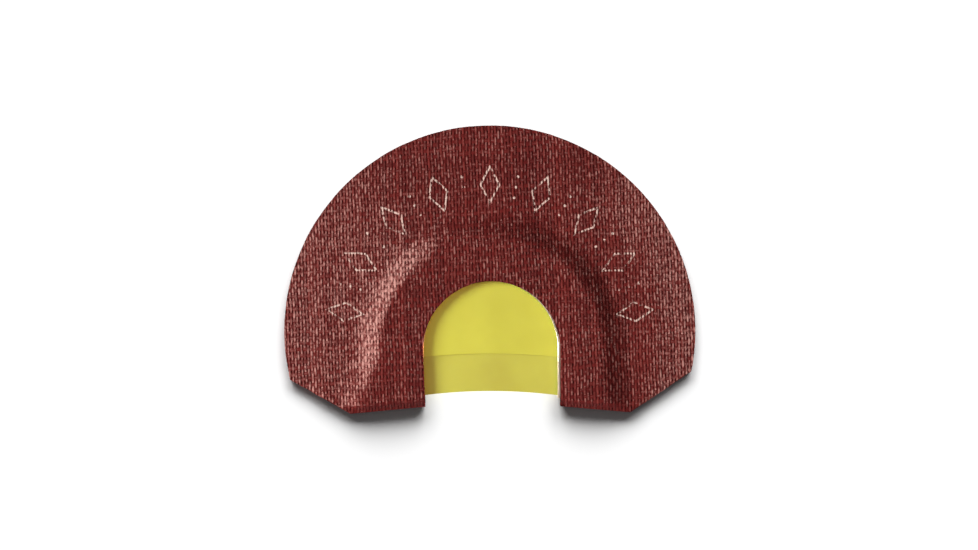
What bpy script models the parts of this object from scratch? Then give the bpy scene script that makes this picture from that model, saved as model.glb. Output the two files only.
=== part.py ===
"""Diaphragm mouth call: two latex reeds stretched in a folded aluminium frame between two cloth tapes.

The call lies flat. +Z is up through its thickness, +X runs across its width, and the open end of the
horseshoe, where the reeds have their free edges, points to -Y. Plan sizes are measured from the centre
of the tape's round edge, and heights from the flat underside. An empty carries that plan to the world,
so that the world's origin is under the middle of the call.
"""

import math

import bmesh
import bpy
from mathutils import Vector

MM = 0.001

# Heights: layers through the thickness, from the underside up.
TAPE_THICKNESS = 0.35 * MM
PLATE_THICKNESS = 0.55 * MM
REED_THICKNESS = 0.10 * MM
LAYER_GAP = 0.03 * MM

LOWER_PLATE_Z = TAPE_THICKNESS + LAYER_GAP
LOWER_REED_Z = LOWER_PLATE_Z + PLATE_THICKNESS + LAYER_GAP
UPPER_REED_Z = LOWER_REED_Z + REED_THICKNESS + LAYER_GAP
UPPER_PLATE_Z = UPPER_REED_Z + REED_THICKNESS + LAYER_GAP
TOP_Z = UPPER_PLATE_Z + PLATE_THICKNESS + LAYER_GAP + TAPE_THICKNESS
REED_MIDDLE_Z = (LOWER_REED_Z + UPPER_REED_Z + REED_THICKNESS) / 2

# The tape's skirt lies lower than the frame's middle, so the embossed ridge is higher on the top.
SKIRT_UNDERSIDE_Z = 0.35 * MM
SKIRT_GAP = 0.06 * MM
SKIRT_TOP_Z = SKIRT_UNDERSIDE_Z + 2 * TAPE_THICKNESS + SKIRT_GAP
SKIRT_DROOP = 0.20 * MM

# Plan of the tape. Sides are -1 for left and 1 for right: the front cuts differ a little.
LEFT = -1
RIGHT = 1
TAPE_RADIUS = 22.25 * MM
SKIRT_CORNER_Y = {LEFT: -5.30 * MM, RIGHT: -4.40 * MM}
TAB_OUTER = {LEFT: Vector((-15.10, -8.97)) * MM, RIGHT: Vector((15.25, -8.80)) * MM}
TAB_INNER = {LEFT: Vector((-6.95, -8.20)) * MM, RIGHT: Vector((7.60, -8.15)) * MM}
ARCH_CENTRE = Vector((0.20, -2.05)) * MM
TAPE_OPENING_RADIUS = 7.40 * MM

# Plan of the frame, a horseshoe with straight legs that stop short of the tape's front edge.
FRAME_INNER_RADIUS = 7.15 * MM
FRAME_OUTER_RADIUS = 12.15 * MM
LEG_SETBACK = 0.90 * MM

# The tape's embossed ridge: a flat plateau over the frame, then a slope down to the skirt.
PLATEAU_RADIUS = 12.30 * MM
FOOT_RADIUS = 14.80 * MM
PLATEAU_FLARE = {LEFT: 1.00 * MM, RIGHT: 0.55 * MM}
FOOT_FLARE = {LEFT: 0.15 * MM, RIGHT: 0.20 * MM}
FRONT_SLOPE_LENGTH = 1.80 * MM
SLOPE_ROWS = 5
SKIRT_ROWS = 2
ARCH_COLUMNS = 40

# How far down a leg each column of the tape's mesh meets the opening. The outer end of the
# column at CORNER_STATION is the skirt's corner.
LEG_STATIONS = (0.15, 0.30, 0.45, 0.60, 0.74, 0.87, 1.00)
CORNER_STATION = 0.30

# Two folded straps at the rear of the horseshoe join the frame's plates.
STRAP_THICKNESS = 0.53 * MM
STRAP_WIDTH = 1.80 * MM
STRAP_OFFSET = 2.40 * MM
STRAP_LEG = 1.20 * MM
FOLD_Y = ARCH_CENTRE.y + 11.30 * MM
FOLD_STEPS = 10

# Reeds: the free edge's place in the middle and at the sides. The upper reed is the shorter.
LOWER_REED_EDGE = {"middle": -6.50 * MM, "side": -6.95 * MM}
UPPER_REED_EDGE = {"middle": -2.45 * MM, "side": -2.80 * MM}
REED_MARGIN_RADIUS = 10.90 * MM
TONGUE_CLEARANCE = 0.10 * MM
HINGE_Y = ARCH_CENTRE.y + FRAME_INNER_RADIUS - TONGUE_CLEARANCE / 2
ARC_STEPS = 32
EDGE_STEPS = 12

PLAN_CENTRE_Y = (TAPE_RADIUS + TAB_OUTER[LEFT].y) / 2


def clear_scene():
    for old in list(bpy.data.objects):
        bpy.data.objects.remove(old, do_unlink=True)


def make_collection(name):
    collection = bpy.data.collections.new(name)
    bpy.context.scene.collection.children.link(collection)
    return collection


def make_material(name, colour, roughness, metallic=0.0):
    material = bpy.data.materials.new(name)
    material.use_nodes = True
    shader = material.node_tree.nodes["Principled BSDF"]
    shader.inputs["Base Color"].default_value = (*colour, 1.0)
    shader.inputs["Roughness"].default_value = roughness
    shader.inputs["Metallic"].default_value = metallic
    return material


def place(obj, collection, material, parent, location):
    collection.objects.link(obj)
    obj.data.materials.append(material)
    obj.parent = parent
    obj.location = location


# Outlines in plan


def arc_points(centre, radius, start, end, steps):
    """Points along an arc of a circle, both ends included, with angles in radians."""
    points = []
    for step in range(steps + 1):
        angle = start + (end - start) * step / steps
        points.append(centre + radius * Vector((math.cos(angle), math.sin(angle))))
    return points


def bowed_edge(left_x, right_x, edge):
    """A reed's free edge from left to right, drawn back in the middle by the stretch in the latex."""
    middle_x = (left_x + right_x) / 2
    points = []
    for step in range(EDGE_STEPS + 1):
        x = left_x + (right_x - left_x) * step / EDGE_STEPS
        share = (x - middle_x) / (right_x - middle_x)
        points.append(Vector((x, edge["middle"] + (edge["side"] - edge["middle"]) * share**2)))
    return points


def horseshoe(centre, inner, outer, end_y):
    """A horseshoe open towards -Y. end_y gives the end of a leg from the x of a corner."""
    points = arc_points(centre, outer, 0.0, math.pi, ARC_STEPS)
    for x in (centre.x - outer, centre.x - inner):
        points.append(Vector((x, end_y(x))))
    points += arc_points(centre, inner, math.pi, 0.0, ARC_STEPS)
    for x in (centre.x + inner, centre.x + outer):
        points.append(Vector((x, end_y(x))))
    return points


def tongue_outline(centre, radius, edge):
    """The part of a reed inside the opening: a round back, straight sides and a bowed free edge."""
    points = arc_points(centre, radius, 0.0, math.pi, ARC_STEPS)
    return points + bowed_edge(centre.x - radius, centre.x + radius, edge)


def leg_end_y(x):
    """The frame's leg ends run parallel to the front edges of the tape's tabs."""
    side = LEFT if x < 0 else RIGHT
    edge = TAB_OUTER[side] - TAB_INNER[side]
    share = (x - TAB_INNER[side].x) / edge.x
    return TAB_INNER[side].y + share * edge.y + LEG_SETBACK


# Flat sheet pieces


def flat_curve(name, outline, thickness):
    """A filled 2D curve, extruded both ways by half the thickness."""
    curve = bpy.data.curves.new(name, "CURVE")
    curve.dimensions = "2D"
    curve.fill_mode = "BOTH"
    curve.extrude = thickness / 2
    spline = curve.splines.new("POLY")
    spline.points.add(len(outline) - 1)
    for point, (x, y) in zip(spline.points, outline):
        point.co = (x, y, 0.0, 1.0)
    spline.use_cyclic_u = True
    return bpy.data.objects.new(name, curve)


def curve_to_mesh(curve_object, name):
    """A closed mesh object in place of a curve object, so that a Boolean can use it."""
    bpy.context.scene.collection.objects.link(curve_object)
    bpy.context.view_layer.update()
    evaluated = curve_object.evaluated_get(bpy.context.evaluated_depsgraph_get())
    mesh = bpy.data.meshes.new_from_object(evaluated)
    shape = bmesh.new()
    shape.from_mesh(mesh)
    bmesh.ops.remove_doubles(shape, verts=shape.verts, dist=0.001 * MM)
    bmesh.ops.recalc_face_normals(shape, faces=shape.faces)
    shape.to_mesh(mesh)
    shape.free()
    mesh.materials.clear()
    solid = bpy.data.objects.new(name, mesh)
    solid.matrix_world = curve_object.matrix_world.copy()
    bpy.data.objects.remove(curve_object, do_unlink=True)
    return solid


def reed_sheet(name, outline, z_low, origin, collection, material, parent):
    """A flat piece of latex whose object sits at origin in plan."""
    local = [point - origin for point in outline]
    sheet = flat_curve(name, local, REED_THICKNESS)
    place(sheet, collection, material, parent, (origin.x, origin.y, z_low + REED_THICKNESS / 2))
    return sheet


def make_reed(prefix, z_low, edge, collection, material, parent):
    """One reed: the margin that the frame grips, and the tongue that moves about the hinge line."""

    def margin_end(_x):
        return edge["side"]

    margin = horseshoe(ARCH_CENTRE, FRAME_INNER_RADIUS, REED_MARGIN_RADIUS, margin_end)
    reed_sheet(prefix + "_margin", margin, z_low, ARCH_CENTRE, collection, material, parent)
    tongue = tongue_outline(ARCH_CENTRE, FRAME_INNER_RADIUS - TONGUE_CLEARANCE, edge)
    hinge = Vector((ARCH_CENTRE.x, HINGE_Y))
    reed_sheet(prefix + "_tongue", tongue, z_low, hinge, collection, material, parent)


# Frame


def make_plate(name, z_low, parent):
    outline = horseshoe(ARCH_CENTRE, FRAME_INNER_RADIUS, FRAME_OUTER_RADIUS, leg_end_y)
    plate = curve_to_mesh(flat_curve(name + "_outline", outline, PLATE_THICKNESS), name)
    plate.parent = parent
    plate.location = (0.0, 0.0, z_low + PLATE_THICKNESS / 2)
    return plate


def strap_outline():
    """Side view of a folded strap, as (along Y, along Z) from the fold's centre: a long U on its side."""
    outer = (UPPER_REED_Z - LOWER_REED_Z + REED_THICKNESS) / 2 + LAYER_GAP + STRAP_THICKNESS
    inner = outer - STRAP_THICKNESS
    origin = Vector((0.0, 0.0))
    points = [Vector((-STRAP_LEG, -outer))]
    points += arc_points(origin, outer, -math.pi / 2, math.pi / 2, FOLD_STEPS)
    points += [Vector((-STRAP_LEG, outer)), Vector((-STRAP_LEG, inner))]
    points += arc_points(origin, inner, math.pi / 2, -math.pi / 2, FOLD_STEPS)
    points.append(Vector((-STRAP_LEG, -inner)))
    return points


def make_strap(name, x, parent):
    """The outline's own X and Y axes are turned to world Y and Z, and its thickness runs along X."""
    strap = curve_to_mesh(flat_curve(name + "_outline", strap_outline(), STRAP_WIDTH), name)
    strap.parent = parent
    strap.rotation_euler = (math.pi / 2, 0.0, math.pi / 2)
    strap.location = (x, FOLD_Y, REED_MIDDLE_Z)
    return strap


def make_frame(collection, cutters, material, parent):
    """The one-piece frame: a lower and an upper plate, joined by straps folded over at the rear."""
    frame = make_plate("frame", LOWER_PLATE_Z, parent)
    collection.objects.link(frame)
    frame.data.materials.append(material)
    others = [make_plate("upper_plate_shape", UPPER_PLATE_Z, parent)]
    for side in (LEFT, RIGHT):
        others.append(make_strap(f"strap_shape_{side + 1}", ARCH_CENTRE.x + side * STRAP_OFFSET, parent))
    straps_first = others[1:] + others[:1]
    for other in straps_first:
        cutters.objects.link(other)
        other.hide_render = True
        other.display_type = "WIRE"
        union = frame.modifiers.new("join_" + other.name, "BOOLEAN")
        union.operation = "UNION"
        union.solver = "EXACT"
        union.object = other
    return frame


# Tape


def smooth_step(share):
    share = min(max(share, 0.0), 1.0)
    return share * share * (3 - 2 * share)


def reach_round_edge(start, direction):
    """The point where a ray from inside the tape meets its round edge."""
    along = start.dot(direction)
    reach = math.sqrt(along**2 - start.length_squared + TAPE_RADIUS**2) - along
    return start + direction * reach


def skirt_corner(side):
    y = SKIRT_CORNER_Y[side]
    return Vector((side * math.sqrt(TAPE_RADIUS**2 - y**2), y))


def front_share(point, side):
    """How far down the front slope a point of a leg is: 0 over the frame's legs, more past them."""
    edge = (TAB_OUTER[side] - TAB_INNER[side]).normalized()
    inwards = Vector((-edge.y, edge.x)) * side
    past_leg = LEG_SETBACK - (point - TAB_INNER[side]).dot(inwards)
    return max(past_leg, 0.0) / FRONT_SLOPE_LENGTH


def leg_outer_point(side, station):
    """The tape's outer edge beside a leg: first the round edge, then the straight cut to the tab."""
    corner = skirt_corner(side)
    if station <= CORNER_STATION:
        y = ARCH_CENTRE.y + (corner.y - ARCH_CENTRE.y) * station / CORNER_STATION
        return Vector((side * math.sqrt(TAPE_RADIUS**2 - y**2), y))
    return corner.lerp(TAB_OUTER[side], (station - CORNER_STATION) / (1 - CORNER_STATION))


def leg_column(side, station):
    """Plan points across one leg: opening, plateau's edge, slope's foot and outer edge."""
    spring = ARCH_CENTRE + Vector((side * TAPE_OPENING_RADIUS, 0.0))
    inner = spring.lerp(TAB_INNER[side], station)
    outer = leg_outer_point(side, station)
    points = [inner]
    for radius, flare in ((PLATEAU_RADIUS, PLATEAU_FLARE), (FOOT_RADIUS, FOOT_FLARE)):
        x = ARCH_CENTRE.x + side * (radius + flare[side] * station**2)
        points.append(inner.lerp(outer, (x - inner.x) / (outer.x - inner.x)))
    points.append(outer)
    return points


def arch_column(angle):
    """Plan points across the arch, at an angle about its centre."""
    ray = Vector((math.cos(angle), math.sin(angle)))
    return [
        ARCH_CENTRE + ray * TAPE_OPENING_RADIUS,
        ARCH_CENTRE + ray * PLATEAU_RADIUS,
        ARCH_CENTRE + ray * FOOT_RADIUS,
        reach_round_edge(ARCH_CENTRE, ray),
    ]


def tape_columns():
    """All columns from the left tab round the arch to the right tab, each with its side or None."""
    columns = [(leg_column(LEFT, station), LEFT) for station in reversed(LEG_STATIONS)]
    for step in range(ARCH_COLUMNS + 1):
        columns.append((arch_column(math.pi * (1 - step / ARCH_COLUMNS)), None))
    columns += [(leg_column(RIGHT, station), RIGHT) for station in LEG_STATIONS]
    return columns


def column_points(column, side, plateau_z, skirt_z):
    """3D points across the tape, from the opening to the outer edge."""
    inner, plateau, foot, outer = column
    plan = [(inner, 0.0, 0.0)]
    for row in range(SLOPE_ROWS + 1):
        share = row / SLOPE_ROWS
        plan.append((plateau.lerp(foot, share), share, 0.0))
    for row in range(1, SKIRT_ROWS + 1):
        share = row / SKIRT_ROWS
        plan.append((foot.lerp(outer, share), 1.0, share))
    points = []
    for point, slope, droop in plan:
        front = front_share(point, side) if side else 0.0
        height = 1 - smooth_step(math.hypot(slope, front))
        z = skirt_z + (plateau_z - skirt_z) * height - SKIRT_DROOP * droop**2
        points.append((point.x, point.y, z))
    return points


def make_tape(name, plateau_z, skirt_z, inwards, collection, material, parent):
    """A tape from the grid of its outer face, thickened inwards: -1 is downwards and 1 is upwards."""
    grid = [column_points(column, side, plateau_z, skirt_z) for column, side in tape_columns()]
    shape = bmesh.new()
    rows = [[shape.verts.new(point) for point in column] for column in grid]
    for near, far in zip(rows, rows[1:]):
        for step in range(len(near) - 1):
            shape.faces.new((near[step], near[step + 1], far[step + 1], far[step]))
    bmesh.ops.recalc_face_normals(shape, faces=shape.faces)
    if shape.faces[:][0].normal.z < 0:
        bmesh.ops.reverse_faces(shape, faces=shape.faces)
    mesh = bpy.data.meshes.new(name)
    shape.to_mesh(mesh)
    shape.free()
    tape = bpy.data.objects.new(name, mesh)
    place(tape, collection, material, parent, (0.0, 0.0, 0.0))
    thicken = tape.modifiers.new("thickness", "SOLIDIFY")
    thicken.thickness = TAPE_THICKNESS
    thicken.offset = inwards
    thicken.use_even_offset = True
    return tape


def main():
    clear_scene()
    collection = make_collection("diaphragm_mouth_call")
    cutters = make_collection("construction_shapes")

    upper_cloth = make_material("upper_tape_cloth", (0.155, 0.020, 0.022), 0.60)
    lower_cloth = make_material("lower_tape_cloth", (0.150, 0.020, 0.022), 0.62)
    aluminium = make_material("frame_aluminium", (0.80, 0.80, 0.78), 0.35, 1.0)
    upper_latex = make_material("upper_reed_latex", (0.68, 0.62, 0.06), 0.40)
    lower_latex = make_material("lower_reed_latex", (0.60, 0.54, 0.06), 0.40)

    origin = bpy.data.objects.new("call_origin", None)
    collection.objects.link(origin)
    origin.location = (0.0, -PLAN_CENTRE_Y, 0.0)

    make_tape("tape_lower", 0.0, SKIRT_UNDERSIDE_Z, 1, collection, lower_cloth, origin)
    make_frame(collection, cutters, aluminium, origin)
    make_reed("reed_lower", LOWER_REED_Z, LOWER_REED_EDGE, collection, lower_latex, origin)
    make_reed("reed_upper", UPPER_REED_Z, UPPER_REED_EDGE, collection, upper_latex, origin)
    make_tape("tape_upper", TOP_Z, SKIRT_TOP_Z, -1, collection, upper_cloth, origin)


main()
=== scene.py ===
"""Looks for a diaphragm mouth call: woven cloth tape over a folded aluminium frame and latex reeds.

Plan sizes are in millimetres, measured from the centre of the tape's round edge. to_metres() carries
them to the frame's own metres. Heights are in millimetres above the call's flat underside.
"""

import math

import bpy
import numpy as np
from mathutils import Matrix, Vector


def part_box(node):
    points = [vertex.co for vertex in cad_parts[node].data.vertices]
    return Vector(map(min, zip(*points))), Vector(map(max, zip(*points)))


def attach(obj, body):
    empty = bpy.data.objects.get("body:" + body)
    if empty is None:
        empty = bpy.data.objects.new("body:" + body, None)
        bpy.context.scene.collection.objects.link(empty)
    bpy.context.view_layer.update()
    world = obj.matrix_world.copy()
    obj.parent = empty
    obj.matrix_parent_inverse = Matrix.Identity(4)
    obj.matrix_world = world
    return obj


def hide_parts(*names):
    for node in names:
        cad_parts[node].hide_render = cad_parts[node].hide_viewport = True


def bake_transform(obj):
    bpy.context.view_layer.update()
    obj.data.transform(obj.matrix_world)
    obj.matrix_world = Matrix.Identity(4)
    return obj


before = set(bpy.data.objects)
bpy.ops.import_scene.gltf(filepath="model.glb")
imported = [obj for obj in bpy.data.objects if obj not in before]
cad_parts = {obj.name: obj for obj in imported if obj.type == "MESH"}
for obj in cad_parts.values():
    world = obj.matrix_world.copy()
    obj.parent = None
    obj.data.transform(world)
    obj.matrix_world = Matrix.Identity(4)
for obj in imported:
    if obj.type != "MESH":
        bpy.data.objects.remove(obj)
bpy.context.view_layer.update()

MM = 0.001
LEFT = -1
RIGHT = 1

# Plan of the cloth tape: its round edge, the cuts beside its two legs and its opening.
TAPE_RADIUS = 22.25
SKIRT_CORNER_Y = {LEFT: -5.30, RIGHT: -4.40}
TAB_OUTER = {LEFT: np.array((-15.10, -8.97)), RIGHT: np.array((15.25, -8.80))}
TAB_INNER = {LEFT: np.array((-6.95, -8.20)), RIGHT: np.array((7.60, -8.15))}
ARCH_CENTRE = np.array((0.20, -2.05))
TAPE_OPENING_RADIUS = 7.40
DISC_CENTRE_Y = -(TAPE_RADIUS + TAB_OUTER[LEFT][1]) / 2

# Plan of the embossed ridge. Its plateau and its foot flare outwards along the legs, and it slopes
# down to their front edges.
PLATEAU_RADIUS = 11.85
FOOT_RADIUS = 15.40
PLATEAU_FLARE = {LEFT: 2.70, RIGHT: 0.55}
FOOT_FLARE = {LEFT: 5.60, RIGHT: 0.60}
FLARE_CURVE = 1.5
NARROWEST_SLOPE = 2.60
FOOT_INSET = 0.10
CORNER_STATION = 0.30
LEG_SETBACK = 0.90
FRONT_SLOPE_LENGTH = 0.95

# Plan of the frame, the straps folded at its rear, and the reeds it holds. The straps' faces lie
# STRAP_SINK inside the plates' faces, so that they join cleanly.
FRAME_CENTRE = np.array((0.10, -1.86))
FRAME_INNER_RADIUS = 7.23
FRAME_OUTER_RADIUS = 12.12
SHEARED_EDGE_RADIUS = 0.07
STRAP_OFFSET = 2.40
STRAP_FOLD = 11.30
STRAP_WIDTH = 1.80
STRAP_LEG = 1.20
STRAP_THICKNESS = 0.53
STRAP_SINK = 0.01
REED_MARGIN_RADIUS = 10.90

# Heights. Those of the frame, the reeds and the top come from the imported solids.
TOP_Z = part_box("tape_upper")[1].z / MM
TAPE_THICKNESS = 0.375
SKIRT_UNDERSIDE_Z = 0.35
SKIRT_TOP_Z = 1.11
SKIRT_DROOP = 0.20
PLATE_THICKNESS = 0.55
LOWER_PLATE_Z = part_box("frame")[0].z / MM
UPPER_PLATE_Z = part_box("frame")[1].z / MM - PLATE_THICKNESS
REED_THICKNESS = 0.10

# Each tape's outer face: its heights over the frame and at the skirt, and whether it looks up or down.
UPPER_FACE = {"plateau_z": TOP_Z, "skirt_z": SKIRT_TOP_Z, "upwards": 1}
LOWER_FACE = {"plateau_z": 0.0, "skirt_z": SKIRT_UNDERSIDE_Z, "upwards": -1}

# Each reed's underside, and where its free edge lies in the middle and at the frame.
REEDS = {
    "lower": {"z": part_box("reed_lower_tongue")[0].z / MM, "middle": -6.50, "side": -6.95},
    "upper": {"z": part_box("reed_upper_tongue")[0].z / MM, "middle": -2.45, "side": -2.80},
}


def to_metres(points):
    """Plan or space points in millimetres, from the disc's centre, as metres in the frame."""
    placed = np.array(points, float)
    placed[..., 1] += DISC_CENTRE_Y
    return placed * MM


def smooth_step(share):
    share = np.clip(share, 0.0, 1.0)
    return share * share * (3 - 2 * share)


def long_step(share):
    """Like smooth_step, but steepest a third of the way along, with a longer tail."""
    share = np.clip(share, 0.0, 1.0)
    return share * share * (6 - 8 * share + 3 * share * share)


# Shape of the embossed cloth


def arch_reach(ray):
    """How far it is from the arch's centre to the round edge along each unit ray."""
    along = ray @ ARCH_CENTRE
    return np.sqrt(along**2 - ARCH_CENTRE @ ARCH_CENTRE + TAPE_RADIUS**2) - along


def leg_inner(side, station):
    """The tape's inner edge along a leg, straight from the arch's springing to the tab."""
    spring = ARCH_CENTRE + np.array((side * TAPE_OPENING_RADIUS, 0.0))
    return spring + np.asarray(station)[..., None] * (TAB_INNER[side] - spring)


def leg_outer(side, station):
    """The tape's outer edge beside a leg: first the round edge, then the straight cut to the tab."""
    station = np.asarray(station, float)
    corner_y = SKIRT_CORNER_Y[side]
    round_y = ARCH_CENTRE[1] + (corner_y - ARCH_CENTRE[1]) * np.clip(station / CORNER_STATION, 0, 1)
    on_edge = np.stack((side * np.sqrt(TAPE_RADIUS**2 - round_y**2), round_y), axis=-1)
    cut = np.clip((station - CORNER_STATION) / (1 - CORNER_STATION), 0, 1)[..., None]
    return on_edge + cut * (TAB_OUTER[side] - on_edge)


def leg_station(side, points):
    """Where on a leg each point lies: 0 at the arch's springing and 1 at the tab's front edge."""
    low = np.zeros(len(points))
    high = np.ones(len(points))
    for _ in range(20):
        middle = (low + high) / 2
        inner = leg_inner(side, middle)
        across = leg_outer(side, middle) - inner
        offset = points - inner
        below = side * (across[:, 0] * offset[:, 1] - across[:, 1] * offset[:, 0]) < 0
        low = np.where(below, middle, low)
        high = np.where(below, high, middle)
    return (low + high) / 2


def ridge_shares(points):
    """How far each plan point is down the ridge's slope, out over the skirt and down the front slope."""
    slope = np.zeros(len(points))
    droop = np.zeros(len(points))
    front = np.zeros(len(points))
    offset = points - ARCH_CENTRE
    arch = offset[:, 1] >= 0
    radius = np.hypot(offset[arch, 0], offset[arch, 1])
    reach = arch_reach(offset[arch] / np.maximum(radius, 1e-6)[:, None])
    slope[arch] = (radius - PLATEAU_RADIUS) / (FOOT_RADIUS - PLATEAU_RADIUS)
    droop[arch] = (radius - FOOT_RADIUS) / (reach - FOOT_RADIUS)
    for side in (LEFT, RIGHT):
        leg = ~arch & (side * offset[:, 0] > 0)
        p = points[leg]
        station = leg_station(side, p)
        from_centre = side * (p[:, 0] - ARCH_CENTRE[0])
        plateau = PLATEAU_RADIUS + PLATEAU_FLARE[side] * station**FLARE_CURVE
        foot = FOOT_RADIUS + FOOT_FLARE[side] * station**FLARE_CURVE
        outer = side * (leg_outer(side, station)[:, 0] - ARCH_CENTRE[0])
        foot = np.minimum(foot, outer - FOOT_INSET)
        plateau = np.minimum(plateau, foot - NARROWEST_SLOPE)
        slope[leg] = (from_centre - plateau) / (foot - plateau)
        droop[leg] = (from_centre - foot) / (outer - foot)
        edge = TAB_OUTER[side] - TAB_INNER[side]
        inwards = side * np.array((-edge[1], edge[0])) / np.linalg.norm(edge)
        front[leg] = (LEG_SETBACK - (p - TAB_INNER[side]) @ inwards) / FRONT_SLOPE_LENGTH
    return np.clip(slope, 0, 1), np.clip(droop, 0, 1), np.maximum(front, 0)


def cloth_height(points, face):
    """Height of a tape's outer face over plan points: the ridge, then the drooping skirt."""
    slope, droop, front = ridge_shares(points)
    ridge = (1 - long_step(slope)) * (1 - smooth_step(front))
    return face["skirt_z"] + (face["plateau_z"] - face["skirt_z"]) * ridge - SKIRT_DROOP * droop**2


def cloth_columns(leg_steps, arch_steps):
    """Inner and outer ends of columns across the tape, from the left tab round to the right tab."""
    inner, outer = [], []
    leg = np.linspace(0, 1, leg_steps + 1)[1:]
    leg = np.sort(np.append(leg, CORNER_STATION))
    for side, stations in ((LEFT, leg[::-1]), (RIGHT, leg)):
        if side == RIGHT:
            angle = np.linspace(math.pi, 0, arch_steps + 1)
            ray = np.stack((np.cos(angle), np.sin(angle)), axis=-1)
            inner.append(ARCH_CENTRE + ray * TAPE_OPENING_RADIUS)
            outer.append(ARCH_CENTRE + ray * arch_reach(ray)[:, None])
        inner.append(leg_inner(side, stations))
        outer.append(leg_outer(side, stations))
    return np.concatenate(inner), np.concatenate(outer)


# Meshes


def new_piece(name, vertices, faces, material, smooth=True):
    """A mesh object from points in metres and lists of faces."""
    mesh = bpy.data.meshes.new(name)
    mesh.from_pydata(np.asarray(vertices).tolist(), [], [list(map(int, f)) for f in faces])
    mesh.validate()
    mesh.update()
    mesh.polygons.foreach_set("use_smooth", np.full(len(mesh.polygons), smooth))
    mesh.materials.append(material)
    piece = bpy.data.objects.new(name, mesh)
    bpy.context.scene.collection.objects.link(piece)
    return piece


def grid_slab(top, bottom):
    """Vertices and faces of a closed sheet between two grids of points, rows by columns."""
    rows, columns = top.shape[:2]
    index = np.arange(rows * columns).reshape(rows, columns)
    under = index + rows * columns
    corners = (index[:-1, :-1], index[:-1, 1:], index[1:, 1:], index[1:, :-1])
    quads = np.stack(corners, axis=-1).reshape(-1, 4)
    faces = [quads, (quads + rows * columns)[:, ::-1]]
    for edge, low in (
        (index[0, ::-1], under[0, ::-1]),
        (index[-1], under[-1]),
        (index[:, 0], under[:, 0]),
        (index[::-1, -1], under[::-1, -1]),
    ):
        faces.append(np.stack((edge[:-1], edge[1:], low[1:], low[:-1]), axis=-1)[:, ::-1])
    return np.concatenate((top.reshape(-1, 3), bottom.reshape(-1, 3))), np.concatenate(faces)


def set_attribute(piece, name, values):
    """One number for each vertex, which the materials read by name."""
    attribute = piece.data.attributes.new(name, "FLOAT", "POINT")
    attribute.data.foreach_set("value", np.asarray(values, np.float32))


def face_outwards(piece):
    """Flips a closed mesh whose faces point inwards."""
    mesh = piece.data
    mesh.calc_loop_triangles()
    corners = np.zeros(len(mesh.loop_triangles) * 3, np.int64)
    mesh.loop_triangles.foreach_get("vertices", corners)
    places = np.zeros(len(mesh.vertices) * 3)
    mesh.vertices.foreach_get("co", places)
    a, b, c = places.reshape(-1, 3)[corners.reshape(-1, 3)].transpose(1, 0, 2)
    if np.sum(np.cross(a, b) * c) < 0:
        mesh.flip_normals()


# Cloth


# The backing starts this deep under the tape's outer face. Its rows are closest together on the
# ridge's slope, and its outermost ones lie EDGE_INSET inside the outline.
BACKING_DEPTH = 0.12
PLATEAU_ROWS = 6
SLOPE_ROWS = 14
SKIRT_ROWS = 10
SLOPE_MARGIN = 0.25
EDGE_INSET = 0.02
LEG_COLUMNS = 28
ARCH_COLUMNS = 144
FOOT_ROW_LIMIT = 0.97
PLATEAU_ROW_LIMIT = 0.90


def cloth_rows(inner, outer):
    """Plan points across each column, closer together on the slope, as rows by columns by 2."""
    span = np.linalg.norm(outer - inner, axis=1)
    inset = EDGE_INSET / span
    foot = (FOOT_RADIUS + SLOPE_MARGIN - TAPE_OPENING_RADIUS) / span
    foot = np.clip(foot, 0, FOOT_ROW_LIMIT)
    plateau = (PLATEAU_RADIUS - SLOPE_MARGIN - TAPE_OPENING_RADIUS) / span
    plateau = np.clip(plateau, 0, PLATEAU_ROW_LIMIT)
    shares = []
    for start, end, steps in (
        (inset, plateau, PLATEAU_ROWS),
        (plateau, foot, SLOPE_ROWS),
        (foot, 1 - inset, SKIRT_ROWS),
    ):
        shares += [start + (end - start) * step / steps for step in range(steps)]
    shares.append(1 - inset)
    return np.stack([inner + share[:, None] * (outer - inner) for share in shares])


def make_backing(name, face, material):
    """The tape's base cloth and glue, from under its threads to its inner face."""
    inner, outer = cloth_columns(LEG_COLUMNS, ARCH_COLUMNS)
    plan = cloth_rows(inner, outer)
    z = cloth_height(plan.reshape(-1, 2), face).reshape(plan.shape[:2])
    near = np.dstack((plan, z - face["upwards"] * BACKING_DEPTH))
    far = np.dstack((plan, z - face["upwards"] * TAPE_THICKNESS))
    vertices, faces = grid_slab(near, far)
    piece = new_piece(name, to_metres(vertices), faces, material)
    face_outwards(piece)
    return piece


def crossings(point, direction, outline):
    """Distances along a straight line at which it enters and leaves the outline, in pairs."""
    ends = np.roll(outline, -1, axis=0)
    normal = np.array((-direction[1], direction[0]))
    from_start = (outline - point) @ normal
    from_end = (ends - point) @ normal
    hit = (from_start > 0) != (from_end > 0)
    share = from_start[hit] / (from_start[hit] - from_end[hit])
    places = outline[hit] + share[:, None] * (ends[hit] - outline[hit])
    return np.sort((places - point) @ direction).reshape(-1, 2)


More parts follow.
